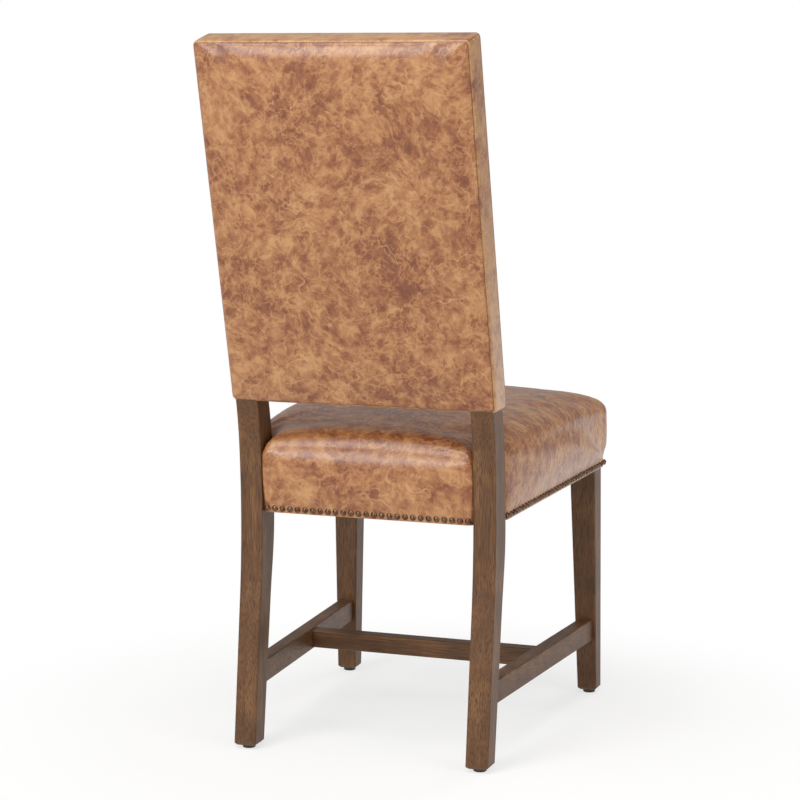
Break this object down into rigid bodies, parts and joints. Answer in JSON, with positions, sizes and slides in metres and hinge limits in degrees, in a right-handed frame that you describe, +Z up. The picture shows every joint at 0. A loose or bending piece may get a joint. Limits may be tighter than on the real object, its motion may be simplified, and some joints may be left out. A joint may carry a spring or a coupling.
{
  "type": "leather dining chair",
  "caption": "High-backed dining chair with a boxed leather back, a crowned leather seat trimmed with dome nails, and a dark wood frame joined by low stretchers.",
  "frame": {"origin": "on the floor under the middle of the outer box", "axes": "+Z up; the sitter faces -Y; the sitter's left is +X"},
  "size_m": [0.4754, 0.6455, 1.0826],
  "materials": {
    "stained_wood": "stained hardwood, satin",
    "frame_wood": "unfinished hidden frame wood",
    "leather": "mottled tan hide, semi-gloss",
    "webbing": "woven jute straps",
    "padding": "foam with wadding wrap",
    "dust_cloth": "black non-woven cloth",
    "bronze": "antique bronze dome nails",
    "steel": "plain steel",
    "glide_plastic": "dark moulded plastic"
  },
  "bodies": {
    "root": {"rear_leg_left": "stained_wood", "rear_leg_right": "stained_wood", "front_leg_left": "stained_wood", "front_leg_right": "stained_wood", "side_stretcher_left": "stained_wood", "side_stretcher_right": "stained_wood", "cross_stretcher": "stained_wood", "side_rail_left": "frame_wood", "side_rail_right": "frame_wood", "rear_rail": "frame_wood", "front_rail": "frame_wood", "corner_block_rear_left": "frame_wood", "corner_block_rear_right": "frame_wood", "corner_block_front_left": "frame_wood", "corner_block_front_right": "frame_wood", "back_lower_rail": "frame_wood", "back_top_rail": "frame_wood", "seat_cover": "leather", "outside_back": "leather", "inside_back": "leather", "boxing_top": "leather", "boxing_left": "leather", "boxing_right": "leather", "boxing_bottom": "leather", "back_webbing": "webbing", "seat_webbing": "webbing", "seat_padding": "padding", "back_foam": "padding", "back_wadding": "padding", "dust_cover": "dust_cloth", "nails_rear": "bronze", "nails_left": "bronze", "nails_right": "bronze", "nails_front": "bronze", "corner_block_screws": "steel", "glide_nails": "steel", "glides": "glide_plastic"}
  },
  "joints": []
}
